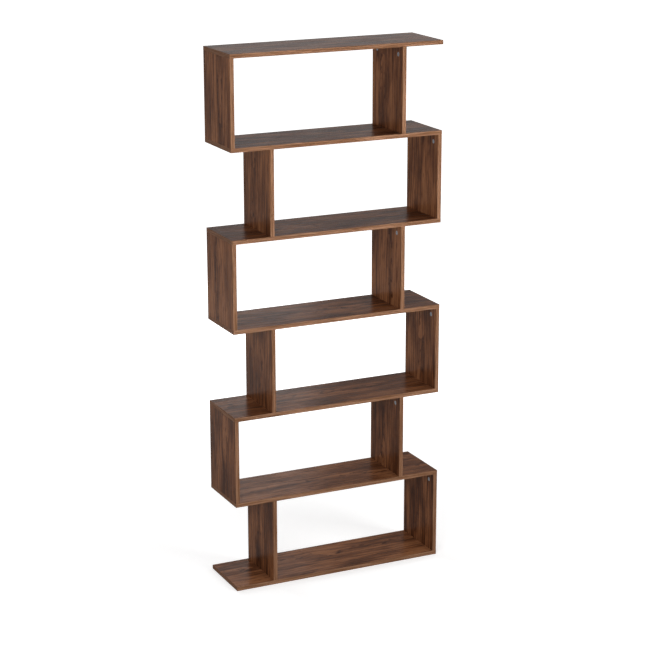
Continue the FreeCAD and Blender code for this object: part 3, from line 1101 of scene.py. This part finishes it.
@dataclass
class Dowels(Fitting):
    """Fluted beech dowels between each upright and the shelf above."""

    kind: str = "dowels"
    slot: Slot = Slot.BEECH
    finish: WoodFigure = BEECH
    radius: float = 3.82 * MILLIMETRE
    tip: float = 2.86 * MILLIMETRE
    chamfer: float = 1.2 * MILLIMETRE
    length: float = 30 * MILLIMETRE
    flutes: int = 12
    sides_per_flute: int = 4
    flute_share: float = 0.92

    def model(self) -> Item:
        """A dowel with chamfered ends and straight flutes.

        Returns:
            The dowel, which stands at height 0.
        """
        sides = self.sides_per_flute * self.flutes
        body = turned("dowel", [
            (self.tip, 0.0),
            (self.radius, self.chamfer),
            (self.radius, self.length - self.chamfer),
            (self.tip, self.length),
        ], sides=sides)
        alone(body)
        bpy.ops.object.mode_set(mode="EDIT")
        bpy.ops.mesh.select_mode(type="VERT")
        bpy.ops.mesh.select_all(action="DESELECT")
        bpy.ops.object.mode_set(mode="OBJECT")
        for vertex in body.data.vertices:
            side = round(math.atan2(vertex.co.y, vertex.co.x) / (2 * math.pi / sides))
            vertex.select = side % self.sides_per_flute == 0
        bpy.ops.object.mode_set(mode="EDIT")
        bpy.ops.transform.resize(value=(self.flute_share, self.flute_share, 1.0))
        bpy.ops.object.mode_set(mode="OBJECT")
        bpy.ops.object.shade_smooth_by_angle(angle=PLAIN_ANGLE)
        return body

    def places(self, tier: Tier) -> list[Matrix]:
        """Upright, at the middle of each upright's top end."""
        return tier.in_uprights(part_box(tier.node(self.kind))[0].z, (0.0,))

    def material(self, tier: Tier) -> Material:
        """Beech with its grain up the dowel."""
        middle, seed = middle_of(tier.node(self.kind)), DOWEL_SEEDS + tier.number
        return self.finish.material(f"beech_{tier.number}", middle, Grain.ALONG_Z, seed)


@dataclass
class Screws(Fitting):
    """Countersunk screws with hexagon sockets, up through each shelf."""

    kind: str = "screws"
    head: float = 4.95 * MILLIMETRE
    head_edge: float = 0.4 * MILLIMETRE
    head_chamfer: float = 0.15 * MILLIMETRE
    shank: float = 3.2 * MILLIMETRE
    shank_end: float = 14.4 * MILLIMETRE
    core: float = 2.2 * MILLIMETRE
    core_start: float = 15.4 * MILLIMETRE
    ridge: float = 0.9 * MILLIMETRE
    pitch: float = 3.0 * MILLIMETRE
    ridge_end: float = 47 * MILLIMETRE
    tip: float = 0.3 * MILLIMETRE
    tip_start: float = 46 * MILLIMETRE
    length: float = 50 * MILLIMETRE
    socket: float = 2.31 * MILLIMETRE
    socket_sides: int = 6
    socket_depth: float = 3 * MILLIMETRE

    def model(self) -> Item:
        """A screw that stands on its head.

        Returns:
            The screw, with its head's face at height 0.
        """
        body = turned("screw", [
            (self.head - self.head_chamfer, 0.0),
            (self.head, self.head_chamfer),
            (self.head, self.head_edge),
            (self.shank, self.head - self.shank + self.head_edge),
            (self.shank, self.shank_end),
            (self.core, self.core_start),
            (self.core, self.tip_start),
            (self.tip, self.length),
        ])
        face = (0.0, 0.0, 0.0)
        cut(body, [prism("socket", self.socket_sides, self.socket, face, 2 * self.socket_depth)])
        alone(body)
        bpy.ops.object.shade_smooth_by_angle(angle=PLAIN_ANGLE)
        span = (self.core_start, self.ridge_end)
        ridge = thread("screw_thread", self.core, self.ridge, self.pitch, span)
        return joined([body, ridge], "screw")

    def places(self, tier: Tier) -> list[Matrix]:
        """Up from the underside of the shelf below."""
        return tier.in_uprights(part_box(tier.node(self.kind))[0].z, tier.fitting_ys())


@dataclass(frozen=True)
class AreaLamp:
    """A square softbox that faces a point, and may show as a gleam on the boards."""

    name: str
    place: Triple
    side: float
    power: float
    aim: Triple = (0.0, 0.0, 1.0)
    spread: float = 180.0
    gleams: bool = False

    def build(self) -> None:
        """Hang the lamp."""
        data = bpy.data.lights.new(self.name, "AREA")
        data.shape = "SQUARE"
        data.size = self.side
        data.energy = self.power
        data.spread = math.radians(self.spread)
        lamp = bpy.data.objects.new(self.name, data)
        bpy.context.scene.collection.objects.link(lamp)
        lamp.visible_glossy = self.gleams
        lamp.location = self.place
        direction = Vector(self.aim) - Vector(self.place)
        lamp.rotation_mode = "QUATERNION"
        lamp.rotation_quaternion = direction.to_track_quat("-Z", "Y")
        log.info("lamp %s", self.name)


@dataclass
class Studio:
    """A plain pale floor, a white surround and soft lamps."""

    surround_level: float = 0.24
    floor_side: float = 60.0
    floor_drop: float = 0.2 * MILLIMETRE
    paint_level: float = 0.8
    near_radius: float = 0.8
    near_white: float = 0.5
    far_radius: float = 3.0
    lamps: tuple[AreaLamp, ...] = (
        AreaLamp("key_softbox", (2.8, -4.6, 1.9), side=2.4, power=140.0),
        AreaLamp("fill_softbox", (-2.2, -2.8, 2.2), side=2.2, power=57.0),
        AreaLamp("side_softbox", (4.4, 0.6, 2.2), side=2.2, power=34.0),
        AreaLamp("back_softbox", (-0.6, 4.4, 1.6), side=2.2, power=100.0),
        AreaLamp("grid_panel", (0.9, -4.6, 1.5), side=0.7, power=3.0, aim=(0.1, 0.0, 1.66),
                 spread=28.0),
        AreaLamp("ledge_panel", (0.75, 2.4, 1.12), side=0.6, power=4.0, aim=(-0.3, 0.0, 0.3),
                 gleams=True),
    )

    def build(self) -> None:
        """Set up the surround, the floor and the lamps."""
        self._surround()
        self._floor()
        for lamp in self.lamps:
            lamp.build()

    def _surround(self) -> None:
        """White where it is seen, and a plain even light elsewhere."""
        world = bpy.data.worlds.new("surround")
        bpy.context.scene.world = world
        world.use_nodes = True
        nodes = Nodes(world.node_tree)
        inputs = {"Value": nodes.background_rays(), "To Min": self.surround_level, "To Max": 1.0}
        level = nodes.add("MapRange", inputs).outputs["Result"]
        background = nodes.add("Background", {"Color": rgba(WHITE), "Strength": level})
        nodes.add("OutputWorld", {"Surface": background.outputs["Background"]})

    def _floor(self) -> None:
        """A pale floor that keeps the bookcase's soft shadow and is white far off."""
        bpy.ops.object.select_all(action="DESELECT")
        bpy.ops.mesh.primitive_plane_add(size=self.floor_side, location=(0.0, 0.0, 0.0))
        floor = bpy.context.object
        floor.name = "floor"
        floor.location.z = -self.floor_drop
        floor.data.materials.append(self._floor_material())

    def _floor_material(self) -> Material:
        """Part pale paint, which takes the shadow, and part white of its own when seen.

        Returns:
            The floor's material.
        """
        shader = Shader("floor_paint")
        distance = shader.add("VectorMath", {0: shader.here()}, operation="LENGTH")
        white = shader.span(distance.outputs["Value"], (self.near_radius, self.far_radius),
                            (self.near_white, 1.0))
        strength = shader.maths("MULTIPLY", shader.background_rays(), white)
        paint = shader.add("BsdfDiffuse", {"Color": rgba((self.paint_level,) * 3)})
        own_light = shader.add("Emission", {"Color": rgba(WHITE), "Strength": strength})
        both = shader.add("AddShader", {0: paint.outputs[0], 1: own_light.outputs[0]})
        shader.add("OutputMaterial", {"Surface": both.outputs[0]})
        return shader.material


@dataclass
class PhotoCamera:
    """The camera at the photograph's place."""

    place: Triple = (-2.903, -6.108, 2.818)
    azimuth: float = 25.35
    elevation: float = 15.74
    roll: float = -0.12
    focal_pixels: float = 1977.0
    sensor_width: float = 36.0

    def build(self) -> None:
        """Make the camera and point it."""
        data = bpy.data.cameras.new("photo_camera")
        data.sensor_width = self.sensor_width
        data.lens = self.focal_pixels * self.sensor_width / IMAGE_SIDE
        camera = bpy.data.objects.new("photo_camera", data)
        bpy.context.scene.collection.objects.link(camera)
        camera.location = self.place
        azimuth, elevation = math.radians(self.azimuth), math.radians(self.elevation)
        ahead = Vector((
            math.sin(azimuth) * math.cos(elevation),
            math.cos(azimuth) * math.cos(elevation),
            -math.sin(elevation),
        ))
        level = ahead.to_track_quat("-Z", "Y")
        turn = Matrix.Rotation(math.radians(self.roll), 3, "Z").to_quaternion()
        camera.rotation_mode = "QUATERNION"
        camera.rotation_quaternion = level @ turn
        bpy.context.scene.camera = camera
        log.info("camera ready")


def main() -> None:
    """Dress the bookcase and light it."""
    logging.basicConfig(level=logging.INFO, format="%(name)s: %(message)s")
    bpy.context.scene.view_settings.view_transform = "Standard"
    Boards().build()
    EdgeBands().build()
    tiers = [Tier.of(number) for number in range(1, TIERS + 1)]
    for fitting in (CamDiscs(), CamBolts(), Dowels(), Screws()):
        fitting.build(tiers)
    Studio().build()
    PhotoCamera().build()


if __name__ == "__main__":
    main()
